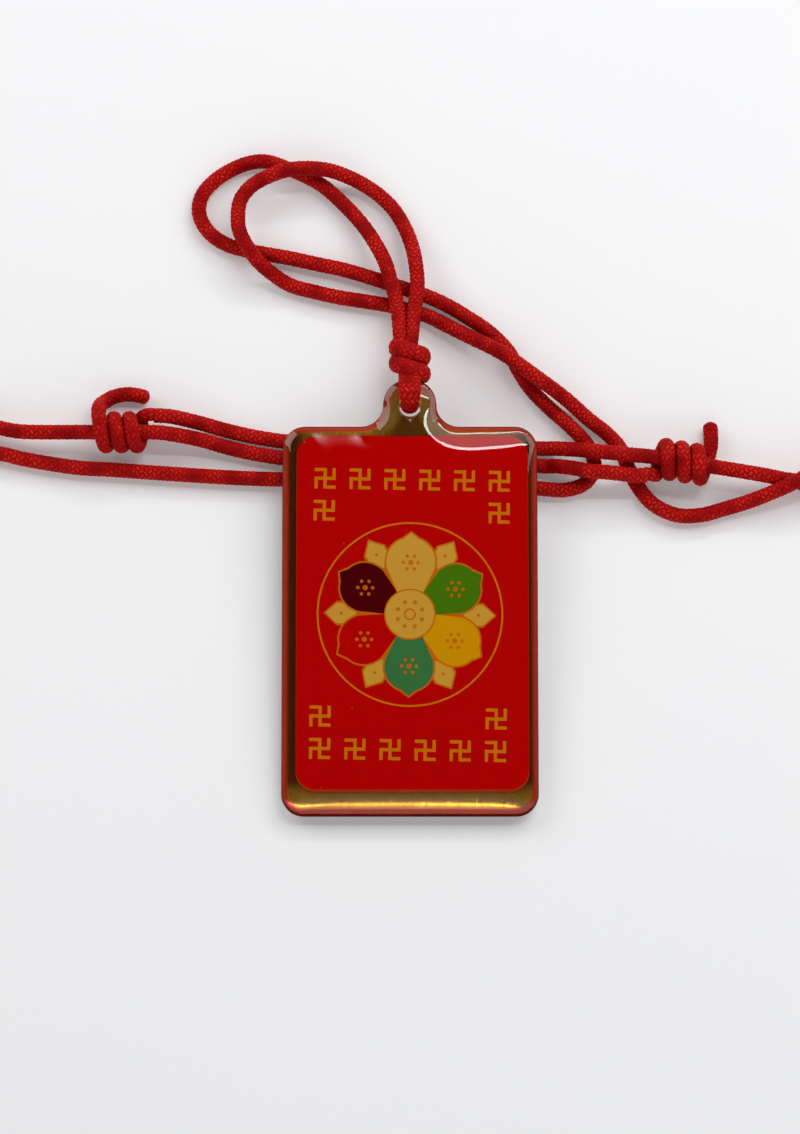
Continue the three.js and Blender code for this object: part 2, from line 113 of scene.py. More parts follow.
inner_route = [
    (.0001, .02926, .00378), (.0002, .03036, .00366), (.0003, .03146, .00349), (.00042, .03326, .00317),
    (.0007, .03546, .003), (.0009, .03756, .003), (.0007, .03986, .00279), (.0003, .04206, .00205),
    (-.0005, .04446, .00132), (-.0018, .04686, .0009), (-.0035, .04866, .0009), (-.0054, .04996, .00111),
    (-.0075, .05086, .00174), (-.0097, .05136, .00258), (-.0121, .05146, .003), (-.0143, .05126, .003),
    (-.0166, .05056, .00268), (-.0186, .04946, .00248), (-.0199, .04776, .00248), (-.0202, .04576, .00258),
    (-.02, .04386, .0029), (-.0191, .04196, .003), (-.0178, .04026, .00248), (-.0161, .03896, .00153),
    (-.014, .03776, .0009), (-.0112, .03696, .0009), (-.0081, .03626, .0009), (-.005, .03576, .0009),
    (-.0017, .03516, .0009), (.0018, .03416, .0009), (.0045, .03276, .00111), (.0071, .03126, .00174),
    (.0093, .02996, .00258), (.0115, .02856, .003), (.0137, .02696, .003), (.0159, .02536, .00279),
    (.0183, .02376, .00174), (.0208, .02166, .0009), (.0229, .01996, .0009), (.0245, .01816, .0009),
    (.0254, .01596, .0009), (.0265, .01366, .0009), (.0283, .01146, .0009), (.031, .01016, .0009),
    (.0339, .01016, .0009), (.0365, .01086, .0009), (.0396, .01176, .00122), (.0425, .01276, .00216),
    (.0451, .01386, .003), (.0478, .01556, .003), (.0507, .01776, .00216), (.0539, .01906, .00122),
    (.0569, .01856, .0009), (.0587, .01626, .0009), (.0587, .01316, .0009), (.0568, .01066, .0009),
    (.0537, .00966, .0009), (.0507, .01066, .0009), (.048, .01246, .0009), (.0454, .01406, .0009),
    (.0436, .01436, .00122), (.0416, .01456, .00216), (.0395, .01484, .00258), (.037, .01526, .00258),
    (.034, .01575, .00258), (.031, .01625, .00258), (.0279, .01676, .00258), (.0258, .01686, .003),
    (.0232, .01706, .00342), (.0207, .01726, .00352), (.0189, .01756, .00279), (.017, .01796, .00143),
    (.0158, .01806, .0009), (.0129, .01816, .0009), (.0059, .01826, .0009), (-.0035, .01836, .0009),
    (-.0128, .01876, .0009), (-.0175, .01936, .0009), (-.0212, .02016, .00101), (-.0245, .02096, .00163),
    (-.0277, .02156, .00237), (-.0298, .02166, .00256),
]


class Wire:
    """A socket in a material's nodes. Sums on it add Math nodes."""

    def __init__(self, tree, socket=None):
        self.tree, self.socket = tree, socket

    def node(self, kind, settings=(), inputs=(), output=0):
        """Adds a node, sets its settings, then the values or links of its sockets."""
        made = self.tree.nodes.new("ShaderNode" + kind)
        for name, value in dict(settings).items():
            if name == "stops":
                while len(made.color_ramp.elements) < len(value):
                    made.color_ramp.elements.new(1)
                for stop, (place, colour) in zip(made.color_ramp.elements, value):
                    stop.position, stop.color = place, (*colour, 1)
            elif name == "interpolation":
                made.color_ramp.interpolation = value
            else:
                setattr(made, name, value)
        for name, value in dict(inputs).items():
            if isinstance(value, Wire):
                self.tree.links.new(value.socket, made.inputs[name])
            else:
                made.inputs[name].default_value = value
        return Wire(self.tree, made.outputs[output])

    def other(self, output):
        """Another output of the same node."""
        return Wire(self.tree, self.socket.node.outputs[output])

    def math(self, operation, *values):
        return self.node("Math", {"operation": operation}, enumerate(values))

    def __add__(self, other):
        return self.math("ADD", self, other)

    __radd__ = __add__

    def __mul__(self, other):
        return self.math("MULTIPLY", self, other)

    __rmul__ = __mul__

    def __sub__(self, other):
        return self.math("SUBTRACT", self, other)

    def __rsub__(self, other):
        return self.math("SUBTRACT", other, self)

    def __truediv__(self, other):
        return self.math("DIVIDE", self, other)

    def __lt__(self, other):
        return self.math("LESS_THAN", self, other)

    def __gt__(self, other):
        return self.math("GREATER_THAN", self, other)

    def __abs__(self):
        return self.math("ABSOLUTE", self)

    def floor(self):
        return self.math("FLOOR", self)

    def root(self):
        return self.math("SQRT", self)

    def repeat(self, period):
        """From 0 up to a period, and again."""
        return self.math("WRAP", self, period, 0)

    def least(self, other):
        return self.math("MINIMUM", self, other)

    def most(self, other):
        return self.math("MAXIMUM", self, other)

    def rise(self, low, high):
        """0 up to low and 1 from high, smooth between."""
        settings = {"interpolation_type": "SMOOTHSTEP"}
        return self.node("MapRange", settings, {0: self, 1: low, 2: high})

    def choose(self, if_0, if_1):
        """A number that goes from one value to another with this wire."""
        return self.node("Mix", {"data_type": "FLOAT"}, {0: self, 2: if_0, 3: if_1})

    def tint(self, if_0, if_1):
        """A colour that goes from one to another with this wire."""
        colours = {
            place: value if isinstance(value, Wire) else (*value, 1)
            for place, value in ((6, if_0), (7, if_1))
        }
        return self.node("Mix", {"data_type": "RGBA"}, {0: self, **colours}, 2)

    def object_place(self):
        """Places in the piece's own coordinates, in metres."""
        return self.node("TexCoord", (), (), "Object")

    def stretched(self, x, y, z):
        """This place, with each of its coordinates multiplied."""
        return self.node("VectorMath", {"operation": "MULTIPLY"}, {0: self, 1: (x, y, z)})

    def noise(self, scale, detail):
        """Noise from 0 to 1 at this place."""
        return self.node("TexNoise", (), {"Vector": self, "Scale": scale, "Detail": detail})

    def bump(self, strength, distance):
        """The normal of a surface with this height."""
        return self.node("Bump", (), {"Strength": strength, "Distance": distance, "Height": self})


def new_material(name):
    """A material, its shader, and a wire to start its other nodes from."""
    material = bpy.data.materials.new(name)
    material.use_nodes = True
    return material, material.node_tree.nodes["Principled BSDF"], Wire(material.node_tree)


def give(shader, **links):
    """Links wires to the shader's sockets, whose names have _ for a space here."""
    for name, wire in links.items():
        wire.tree.links.new(wire.socket, shader.inputs[name.replace("_", " ")])


def screen(red, green, blue):
    """The shader's colour for one that is given as a screen's, 0 to 255."""
    return tuple(
        c / 12.92 if c <= 0.04045 else ((c + 0.055) / 1.055) ** 2.4
        for c in (red / 255, green / 255, blue / 255)
    )


cord_red = screen(174, 2, 3)
# The next two colours are painted light: a highlight on the fibres, and shade between the yarns
cord_painted_highlight = screen(248, 52, 34)
cord_painted_shade_and_patches = screen(70, 0, 2)
other_way = 57  # yarns of the second way are counted from here, so that each has fibres of its own
# The finish repeats the braid of the mesh: each yarn has fibres along it, painted shade darkens it towards
# its edges where the yarns meet, and painted highlights lie on its fibres.
cord_finish, cord_shader, start = new_material("braided_red_cord")
place = start.node("SeparateXYZ", (), {0: start.node("UVMap", {"uv_map": "braid"})})
around, along = place * yarns_each_way, place.other(1)
a, b = around + along, around - along
i, j = a.floor(), b.floor()
on_a = start.math("FLOORED_MODULO", b - i, 4.0) / 2
on_b = start.math("FLOORED_MODULO", a - j - 1, 4.0) / 2
a_is_up = on_a < 1
share = a_is_up.choose(on_b, on_a)
across = a_is_up.choose(b - j, a - i) * 2 - 1
yarn = a_is_up.choose(j + other_way, i)
hump = start.math("SINE", share * math.pi)
height = (1 - across * across).most(0).root() * (yarn_low + yarn_rise * hump)
fibre_place = start.node("CombineXYZ", (), {0: across * 4.5, 1: share * 1.3, 2: yarn * 3.7 + along * 0.02})
fibre = fibre_place.noise(1, 2)
patch = start.object_place().noise(420, 3)
# Painted shade: darker where the braid's height is low, between the yarns
colour = height.rise(0, 0.5).tint(cord_painted_shade_and_patches, cord_red)
# Painted highlights: lighter on the fibres at the tops of the yarns, in random patches
colour = (fibre.rise(0.35, 0.65) * height.rise(0.4, 1) * patch.rise(0.62, 0.38)).tint(colour, cord_painted_highlight)
# Darker in random patches, in the same dark red as the painted shade
colour = (patch.rise(0.48, 0.72) * 0.28).tint(colour, cord_painted_shade_and_patches)
give(
    cord_shader, Base_Color=colour, Roughness=0.62 - height * 0.14 + fibre * 0.1,
    Normal=(height * 0.75 + fibre * 0.35).bump(0.6, 0.00006),
)
cord_shader.inputs["Specular IOR Level"].default_value = 0.08


def smooth_line(points, step):
    """Evenly spaced points on a smooth curve through the given ones."""
    p = np.array(points, float)
    p = np.vstack([2 * p[0] - p[1], p, 2 * p[-1] - p[-2]])
    t = np.linspace(0, 1, curve_steps, endpoint=False)[:, None]
    a, b, c, d = p[:-3, None], p[1:-2, None], p[2:-1, None], p[3:, None]
    fine = b + (c - a) * t / 2 + (a - 2.5 * b + 2 * c - d / 2) * t**2
    fine = fine + (1.5 * (b - c) + (d - a) / 2) * t**3
    fine = np.vstack([fine.reshape(-1, 3), p[-2]])
    run = np.append(0, np.cumsum(np.linalg.norm(np.diff(fine, axis=0), axis=1)))
    even = np.linspace(0, run[-1], round(run[-1] / step) + 1)
    return np.column_stack([np.interp(even, run, fine[:, k]) for k in range(3)])


def length_of(line):
    return float(np.linalg.norm(np.diff(line, axis=0), axis=1).sum())


def braid_height(around, along, yarns):
    """Height of the braid from 0 to 1. Each yarn goes over two yarns and under two."""
    a, b = yarns * around + along, yarns * around - along
    i, j = np.floor(a), np.floor(b)
    on_a, on_b = (b - i) % 4 / 2, (a - j - 1) % 4 / 2
    a_is_up = on_a < 1
    share = np.where(a_is_up, on_a, on_b)
    across = 2 * np.where(a_is_up, a - i, b - j) - 1
    return np.sqrt(1 - across**2) * (yarn_low + yarn_rise * np.sin(np.pi * share))


def piece_from(shape, name):
    """Makes a bmesh an object of the scene, and frees it."""
    piece = bpy.data.objects.new(name, bpy.data.meshes.new(name))
    shape.to_mesh(piece.data)
    shape.free()
    bpy.context.scene.collection.objects.link(piece)
    return piece


def braided_tube(name, line, across, deep, outward=None, yarns=yarns_each_way):
    """A closed tube of braid along a line. across and deep are its half widths, the same all
    along or one for each point. deep lies along outward, which is carried on where it is none."""
    tangent = np.gradient(line, axis=0)
    tangent /= np.linalg.norm(tangent, axis=1)[:, None]
    up = np.zeros_like(line)
    carried = np.array((0, 0, 1.0))
    for k in range(len(line)):
        if outward is not None and not np.isnan(outward[k, 0]):
            carried = outward[k]
        carried = carried - carried @ tangent[k] * tangent[k]
        carried = carried / np.linalg.norm(carried)
        up[k] = carried
    side = np.cross(tangent, up)
    across, deep = np.broadcast_to(across, len(line)), np.broadcast_to(deep, len(line))
    cells = length_of(line) / braid_cell
    shape = bmesh.new()
    shape.loops.layers.uv.new("braid")
    bmesh.ops.create_grid(
        shape, x_segments=cord_sides, y_segments=len(line) - 1, size=0.5, calc_uvs=True
    )
    flat = np.array([vert.co[:2] for vert in shape.verts]) + 0.5  # round the cord and along it
    ring = np.rint(flat[:, 1] * (len(line) - 1)).astype(int)
    angle = 2 * math.pi * flat[:, 0]
    drop = braid_depth * (1 - braid_height(flat[:, 0], flat[:, 1] * cells, yarns))
    drop = drop * np.minimum(1, np.minimum(across, deep)[ring] / cord_radius * braid_fade)
    sideways = np.cos(angle) * (across[ring] - drop)
    upwards = np.sin(angle) * (deep[ring] - drop)
    places = line[ring] + sideways[:, None] * side[ring] + upwards[:, None] * up[ring]
    for vert, place in zip(shape.verts, places):
        vert.co = place
    bmesh.ops.remove_doubles(shape, verts=shape.verts, dist=1e-7)
    bmesh.ops.holes_fill(shape, edges=[edge for edge in shape.edges if edge.is_boundary])
    bmesh.ops.recalc_face_normals(shape, faces=shape.faces)
    for face in shape.faces:
        face.smooth = True
    piece = piece_from(shape, name)
    uv = np.zeros(2 * len(piece.data.loops), np.float32)
    piece.data.uv_layers["braid"].uv.foreach_get("vector", uv)
    uv[0::2] *= yarns / yarns_each_way
    uv[1::2] *= cells
    piece.data.uv_layers["braid"].uv.foreach_set("vector", uv)
    piece.data.materials.append(cord_finish)
    return piece


def strand(name, route):
    """A strand of the necklace, from inside the main knot to inside a sliding knot."""
    line = smooth_line(route, cord_step)
    entry = np.clip(np.arange(len(line)) * cord_step / knot_entry, 0, 1)
    width = squeezed_radius + (cord_radius - squeezed_radius) * entry * entry * (3 - 2 * entry)
    return braided_tube(name, line, width, cord_radius), line


outer_strand, outer_line = strand("outer_strand", outer_route)
inner_strand, inner_line = strand("inner_strand", inner_route)
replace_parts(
    outer_strand, "outer_strand_loop", "outer_strand_descent", "outer_strand_under_card",
    "outer_strand_left_bight", "outer_strand_overlap",
)
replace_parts(inner_strand, "inner_strand_loop", "inner_strand_right_bight", "inner_strand_overlap")
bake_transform(outer_strand, "necklace", "right_slider", start=(0.0216, 0, 0), end=(0.0270, 0, 0))
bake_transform(inner_strand, "necklace", "left_slider", start=(-0.0206, 0, 0), end=(-0.0293, 0, 0))

# Strand starts: the first stretch of each strand is a piece of its own, which bends at the main
# knot when the card is lifted. It is cut off the strand, so that both ends meet flush.
start_length = 0.013


def keep_part(piece, line, of_start):
    """Keeps only the start of a strand, or only the rest of it."""
    shape = bmesh.new()
    shape.from_mesh(piece.data)
    braid = shape.loops.layers.uv["braid"]
    lost = []
    for face in shape.faces:
        if len(face.verts) > 4:  # an end of the strand
            in_start = (face.calc_center_median() - Vector(line[0])).length < cord_radius
        else:
            along = sum(loop[braid].uv.y for loop in face.loops) / len(face.loops)
            in_start = along * braid_cell < start_length
        if in_start != of_start:
            lost.append(face)
    bmesh.ops.delete(shape, geom=lost, context="FACES")
    rim = [edge for edge in shape.edges if edge.is_boundary]
    bmesh.ops.holes_fill(shape, edges=rim)
    bmesh.ops.recalc_face_normals(shape, faces=shape.faces)
    for edge in rim:
        edge.smooth = False
    shape.to_mesh(piece.data)
    shape.free()


for strand_piece, line in ((outer_strand, outer_line), (inner_strand, inner_line)):
    first = strand_piece.copy()
    first.data = strand_piece.data.copy()
    first.name = strand_piece.name + "_start"
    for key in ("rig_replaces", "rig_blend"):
        del first[key]
    bpy.context.scene.collection.objects.link(first)
    keep_part(first, line, True)
    keep_part(strand_piece, line, False)
    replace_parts(first, strand_piece.name + "_loop")
    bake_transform(first, "hanger", "necklace", start=(0, 0.0302, 0), end=(0, 0.0400, 0))

# Main knot: the cord goes nearly twice round the squeezed pair of strands just above the ear, and
# is pulled tight, so that its wraps are flattened against each other and their yarns spread.
knot_low, knot_high = Vector((0, 0.025755, 0.004215)), Vector((0, 0.031115, 0.00363))
hole_to_knot = 0.0035
wrap_radius = 0.00172  # of the wraps' own middle line
wrap_half, wrap_yarns = (0.00106, 0.00078), 10  # across and deep, and each way round the wider cord
wrap_turns = [  # degrees from the front towards +X, and millimetres from the hole
    (-150, 7.5), (-90, 7.2), (-45, 6.7), (0, 6.15), (45, 6), (90, 6.1), (140, 6), (180, 5.85),
    (230, 5.7), (270, 5.3), (315, 4.65), (360, 4.05), (405, 3.85), (450, 4), (490, 4.25), (520, 4.4),
]
knot_axis = np.array((knot_high - knot_low).normalized())
knot_front = np.cross((1, 0, 0), knot_axis)
knot_start = np.array(knot_low) - hole_to_knot * knot_axis
wrap_points = []
for degrees, height in wrap_turns:
    sine, cosine = math.sin(math.radians(degrees)), math.cos(math.radians(degrees))
    outward = sine * np.array((1, 0, 0)) + cosine * knot_front
    wrap_points.append(knot_start + height / 1000 * knot_axis + wrap_radius * outward)
wrap_line = smooth_line(wrap_points, cord_step)
from_axis = wrap_line - knot_start
from_axis -= (from_axis @ knot_axis)[:, None] * knot_axis
main_knot = braided_tube("main_knot", wrap_line, *wrap_half, from_axis, wrap_yarns)
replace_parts(main_knot, "main_knot_wraps", "main_knot_core")
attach(main_knot, "hanger")

# Hole bight: the cord comes out of the knot, lies flat over the ear, goes down through the
# card's hole and back up behind the ear into the knot.
card_middle = (0, -0.0024957, 0.0025489)
card_normal = (0, -0.058886, 0.998265)
card_lean = math.atan2(-card_normal[1], card_normal[2])
card_place = Matrix.Translation(card_middle) @ Matrix.Rotation(card_lean, 4, "X")
hole_y = 0.0248
half_bight = [  # metres from the hole's middle, along the card and out of it, in front of the card
    (0.0056, 0.0002), (0.0045, 0.0009), (0.0034, 0.00135), (0.0023, 0.0018), (0.0013, 0.00195),
    (0.0006, 0.0015), (0.00015, 0.0008),
]
bight_widths = ((0, 0.00094), (0.00085, 0.00129), (0.003, 0.00136))  # half, by the way up from the hole
bight_deep, bight_yarns = 0.00074, 11  # half, and each way
bight_points = half_bight + [(0, 0)] + [(y, -z) for y, z in reversed(half_bight)]
bight_line = smooth_line([card_place @ Vector((0, hole_y + y, z)) for y, z in bight_points], cord_step)
bight_outward = np.cross(np.gradient(bight_line, axis=0), (1, 0, 0))
hole_place = card_place @ Vector((0, hole_y, 0))
way_up = bight_line[:, 1] - hole_place.y
bight_half = np.interp(way_up, *zip(*bight_widths))
hole_bight = braided_tube(
    "cord_through_hole", bight_line, bight_half, bight_deep, bight_outward, bight_yarns,
)
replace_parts(hole_bight, "hole_bight")
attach(hole_bight, "hanger")

# Sliding knots: each strand's end is wound round the other strand and tucked in, and its short
# tail has a melted tip. They slide on the strand that runs through them.
slider_radius = 0.0017  # of the wraps' own middle line
slider_reach = 0.0025  # from the floor up to the strand that runs through the knot
slider_inset = 0.00115  # from the start of the knot's way to the first wrap
slider_pitch = 0.0018
slider_half = (0.00088, 0.0008)
wrap_step = 30  # degrees
loosening = 0.0015  # after the last wrap the cord gets its own thickness back over this length
tip_length, tip_least = 0.0007, 0.02


def sliding_knot(name, cad_node, way_start, way_end, turns, tail):
    """Wraps round the line from way_start towards way_end, and a tail in millimetres from them."""
    way = np.array((*way_end, 0)) - np.array((*way_start, 0))
    way = way / np.linalg.norm(way)
    left = np.cross((0, 0, 1), way)
    origin = np.array((*way_start, slider_reach)) + slider_inset * way
    angles = np.arange(0, turns * 360 + 1, wrap_step)
    wraps = [  # it starts beside the strand, and goes under it into the first wrap
        (-0.0016, -0.00209, 0.0001), (-0.0008, -0.00209, 0.00005), (-0.0001, -0.0019, -0.00075),
        (0, -0.0012, -0.0015), (0, -0.0005, -slider_radius),
    ]
    for turn in np.radians(angles):
        around = slider_radius * math.sin(turn), -slider_radius * math.cos(turn)
        wraps.append((slider_pitch * turn / math.tau, *around))
    points = wraps + [(slider_pitch * turns + x / 1000, y / 1000, z / 1000) for x, y, z in tail]
    line = smooth_line(points, cord_step)
    wraps_end = np.argmin(np.linalg.norm(line - wraps[-1], axis=1))
    run = np.arange(len(line))
    loose = np.clip((run - wraps_end) * cord_step / loosening, 0, 1)
    tip = np.clip((len(line) - 1 - run) * cord_step / tip_length, tip_least, 1)
    tip = np.sqrt(1 - (1 - tip) ** 2)
    axes = np.stack([way, left, np.array((0, 0, 1))])
    outward = np.column_stack([np.zeros(len(line)), line[:, 1], line[:, 2]]) @ axes
    outward[wraps_end:] = np.nan
    across = (slider_half[0] + (cord_radius - slider_half[0]) * loose) * tip
    deep = (slider_half[1] + (cord_radius - slider_half[1]) * loose) * tip
    knot = braided_tube(name, line @ axes + origin, across, deep, outward)
    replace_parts(knot, cad_node)
    return knot


right_knot = sliding_knot(
    "right_knot", "right_sliding_knot", (0.0279, 0.0167613), (0.037, 0.0152613), 3,
    [(0.2, 1.3, -1.6), (0.3, 2.8, -1.6), (0.1, 4.2, -1.6), (-0.2, 5.6, -1.6)],
)
left_knot = sliding_knot(
    "left_knot", "left_sliding_knot", (-0.0302, 0.0196613), (-0.0395, 0.0196613), 2.5,
    [
        (0.2, -1.2, 1.7), (0.3, -2.4, 1.1), (0.2, -3.3, -0.2), (-0.3, -4, -1.3), (-1.2, -4.6, -1.6),
        (-2.6, -4.9, -1.6), (-4, -4.8, -1.6), (-5.4, -4.4, -1.6),
    ],
)
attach(right_knot, "right_slider")
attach(left_knot, "left_slider")

# Brass card: stamped sheet with an ear, brushed along its length. Along its outline a red brown
# band is painted reflection of the print in the resin's steep edge, darkest at the very outline; the
# long sides and the ear's middle get painted dark reflection, and the ear's sides a painted highlight.
# Sizes on the card are in millimetres, from its middle.
card_half, card_round = (14.75, 22.5), 2.6
ear_half, ear_top, ear_round = 3.1, 28, 2.8
neck_round = 2.6  # of the fillets between the ear and the body
ear_start, ear_shade = 22, 21  # from here up the card is measured as the ear and its sides get a painted highlight, and from here up its middle gets painted dark reflection
brass_gold = screen(238, 182, 54)
brass_dark = screen(156, 92, 22)
# The next three colours are painted light: a highlight on the ear's sides, dark reflection on the long sides
# and the ear's middle, and the print's red reflected along the outline
brass_painted_highlight = screen(232, 176, 88)
brass_painted_dark_reflection = screen(116, 42, 12)
brass_painted_red_reflection = screen(180, 46, 10)
brass_edge = screen(100, 18, 3)


def on_card(start, centre=(0, 0), turn=0):
    """Places on the card, in millimetres from a centre and along axes turned by some degrees."""
    place = card_place @ Matrix.Translation((centre[0] / 1000, centre[1] / 1000, 0))
    place = place @ Matrix.Rotation(math.radians(turn), 4, "Z")
    return start.node("Mapping", {"vector_type": "TEXTURE"}, {
        "Vector": start.object_place(), "Location": place.translation, "Rotation": place.to_euler(),
        "Scale": (0.001, 0.001, 0.001),
    })


def split(vector):
    parts = vector.node("SeparateXYZ", (), {0: vector})
    return parts, parts.other(1), parts.other(2)


def length(x, y):
    return (x * x + y * y).root()


def inside_corner(x, y, half_x, half_y, round_):
    """How far inside the outline a place near a rounded corner is."""
    return round_ - length((abs(x) - (half_x - round_)).most(0), (y - (half_y - round_)).most(0))


def dress(node, finish):
    """Puts a finish on one of the frame's own pieces."""
    for material_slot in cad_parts[node].material_slots:
        material_slot.material = finish


brass, brass_shader, start = new_material("brushed_brass")
on_brass = on_card(start)
x, y, z = split(on_brass)
in_body = inside_corner(x, abs(y), *card_half, card_round)
in_ear = inside_corner(x, y, ear_half, ear_top, ear_round) * (y > ear_start)
neck_x, neck_y = ear_half + neck_round, card_half[1] + neck_round
in_neck = length(abs(x) - neck_x, y - neck_y) - neck_round
at_neck = (abs(x) < neck_x) * (y < neck_y) * (y > 0)
depth = at_neck.choose(in_body.most(in_ear), in_neck)
# The long sides, above the bottom band, where dark reflection is painted
painted_dark_reflection_at_sides = abs(x).rise(11.5, 13.2) * y.rise(-20.5, -18.5)
streak = on_brass.stretched(9, 0.3, 0).noise(1, 4)
fine_streak = on_brass.stretched(36, 0.4, 0).noise(1, 3)
stain = on_brass.noise(0.5, 4)
colour = (streak.rise(0.35, 0.7) * 0.6 + fine_streak.rise(0.4, 0.7) * 0.35).tint(brass_gold, brass_dark)
# Painted highlight along the ear's sides
colour = (depth.rise(2.6, 1.4) * (y > ear_start) * 0.6).tint(colour, brass_painted_highlight)
# Painted dark reflection in the ear's middle
colour = (depth.rise(1.7, 2.7) * (y > ear_shade) * 0.72).tint(colour, brass_painted_dark_reflection)
# Painted dark reflection along the long sides
colour = (painted_dark_reflection_at_sides * 0.95).tint(colour, brass_painted_dark_reflection)
# Painted reflection: the print's red, as the resin's steep edge shows it, along the outline
colour = depth.rise(1.15, 0.55).tint(colour, brass_painted_red_reflection)
# Darkest at the very outline
colour = (depth.rise(0.35, 0.05) * 0.8).tint(colour, brass_edge)
colour = (stain.rise(0.5, 0.75) * 0.25).tint(colour, brass_dark)
give(
    brass_shader, Base_Color=colour, Roughness=0.09 + streak * 0.04 + stain * 0.02,
    Metallic=depth.rise(0.4, 1.2).choose(0.5, 0.84), Normal=streak.bump(1, 0.000008),
)
dress("brass_plate", brass)

# Printed films: one on each side of the card. The front has a coloured lotus in a ring between
# rows of the traditional sign of good fortune, and a rosette on each petal. It sits slightly turned.
print_turn = -1
print_centre = (0, 0.5)
print_red = screen(172, 1, 0)
print_dark = screen(160, 0, 0)
print_gold = screen(188, 110, 4)
print_edge, print_edge_width = screen(144, 50, 8), 0.06
scratch_colour = screen(214, 120, 84)
film_round = 2.2
sign_half, sign_stroke = 1.2, 0.36
sign_rows, sign_spacing = 15.65, 4.02
corner_sign = (10.08, 11.92)
ring_radius, ring_line = 10.6, 0.2
lotus_gold = screen(191, 147, 51)
lotus_edge, lotus_line = screen(180, 94, 8), 0.2
petal_colours = [  # in sixths of a turn from +X
    screen(64, 111, 8), lotus_gold, screen(68, 0, 4), print_red, screen(53, 111, 60), screen(195, 141, 2),
]
# A petal widens from its foot to its full half width, is round at its end, and has a small tip. The
# numbers named square turn a distance across it into one that is square to its outline.
foot_along, foot_half, foot_slope, foot_square = 2.88, 1.83, 0.47, 0.92
petal_half, petal_bend = 3.03, 0.25
petal_middle = 6
round_along, round_length, round_half, round_square = 6.2, 2.875, 3.02, 2.95
petal_tip, tip_slope, tip_half, tip_square = 9.68, 1.35, 0.95, 0.595
sepal_tip, sepal_slope, sepal_half, sepal_square = 9.95, 0.92, 1.42, 0.75
sepal_start, sepal_line = 6.2, 0.18
sepal_dot, sepal_dot_radius = 7.88, 0.17
rosette_radius, rosette_dot, rosette_heart = 0.85, 0.2, 0.3
middle_radius, middle_edge = 2.8, 0.16
middle_dots, middle_dot = 1.5, 0.24
middle_ring, middle_ring_line = 0.6, 0.2
mark_strength = 0.9  # of the dots over the colour under them


def petal_depth(along, across):
    """How far inside a petal a place is, which lies along its axis and across it."""
    flare = foot_half + foot_slope * (along - foot_along)
    sides = flare.node("Math", {"operation": "SMOOTH_MIN"}, {0: flare, 1: petal_half, 2: petal_bend}) - across
    round_end = length(across / round_half, (along - round_along).most(0) / round_length)
    tip = (((petal_tip - along) * tip_slope - across) * tip_square).least(tip_half - across)
    end = tip.least((along - petal_middle) * 4)
    return (sides * foot_square).least((1 - round_end) * round_square).most(end)


def polar(x, y):
    """The distance from the middle, and the direction in degrees from +X."""
    return length(x, y), x.math("ARCTAN2", y, x) * (180 / math.pi)


def folded(out, angle, sector):
    """Places along and across the middle line of their sector, which is that many degrees wide."""
    turn = (angle.repeat(sector) - sector / 2) * (math.pi / 180)
    return out * turn.math("COSINE", turn), out * abs(turn.math("SINE", turn))


def lotus(x, y, ground, colours):
    """The lotus and its ring over a ground colour."""
    out, angle = polar(x, y)
    along, across = folded(out, angle, 60)
    sepal_along, sepal_across = folded(out, angle + 30, 60)
    stops = {"stops": [(k / 6, petal) for k, petal in enumerate(colours)], "interpolation": "CONSTANT"}
    petal_colour = x.node("ValToRGB", stops, {0: (angle / 360).repeat(1)})
    colour = (abs(out - ring_radius) < ring_line / 2).tint(ground, print_gold)
    sepal = ((sepal_tip - sepal_along) * sepal_slope).least(sepal_half) - sepal_across
    sepal = sepal * sepal_square
    colour = (sepal > 0).tint(colour, lotus_edge)
    colour = ((sepal > sepal_line) * (sepal_along > sepal_start)).tint(colour, colours[1])
    colour = (length(sepal_along - sepal_dot, sepal_across) < sepal_dot_radius).tint(colour, lotus_edge)
    petal = petal_depth(along, across)
    colour = (petal > 0).tint(colour, lotus_edge)
    colour = (petal > lotus_line).tint(colour, petal_colour)
    from_rosette, direction = polar(along - petal_middle, across)
    dot_along, dot_across = folded(from_rosette, direction, 60)
    dots = length(dot_along - rosette_radius, dot_across) < rosette_dot
    colour = (dots.most(from_rosette < rosette_heart) * mark_strength).tint(colour, lotus_edge)
    colour = (out < middle_radius + middle_edge).tint(colour, lotus_edge)
    colour = (out < middle_radius).tint(colour, colours[1])
    dot_along, dot_across = folded(out, angle, 45)
    dots = length(dot_along - middle_dots, dot_across) < middle_dot
    dots = dots.most(abs(out - middle_ring) < middle_ring_line / 2)
    return (dots * mark_strength).tint(colour, lotus_edge)


def sign_mask(x, y):
    """1 on the strokes of the fortune sign: a cross with an arm at the end of each stroke."""
    same = (x * y) > 0
    u, v = same.choose(abs(y), abs(x)), same.choose(abs(x), abs(y))
    strokes = (u < sign_stroke / 2).most(v < sign_stroke / 2).most(u > sign_half - sign_stroke)
    return strokes * (u < sign_half) * (v < sign_half)


def signs_mask(x, y):
    """1 on the signs: six in each row, and one by each corner of the ring."""
    side_x, side_y = (x > 0) * 2 - 1, (y > 0) * 2 - 1
    between = (sign_rows + corner_sign[1]) / 2
    row = (abs(y) > between) * (abs(x) < 3 * sign_spacing)
    row = sign_mask(x.repeat(sign_spacing) - sign_spacing / 2, y - side_y * sign_rows) * row
    corner = sign_mask(x - side_x * corner_sign[0], y - side_y * corner_sign[1]) * (abs(y) < between)
    return row.most(corner)


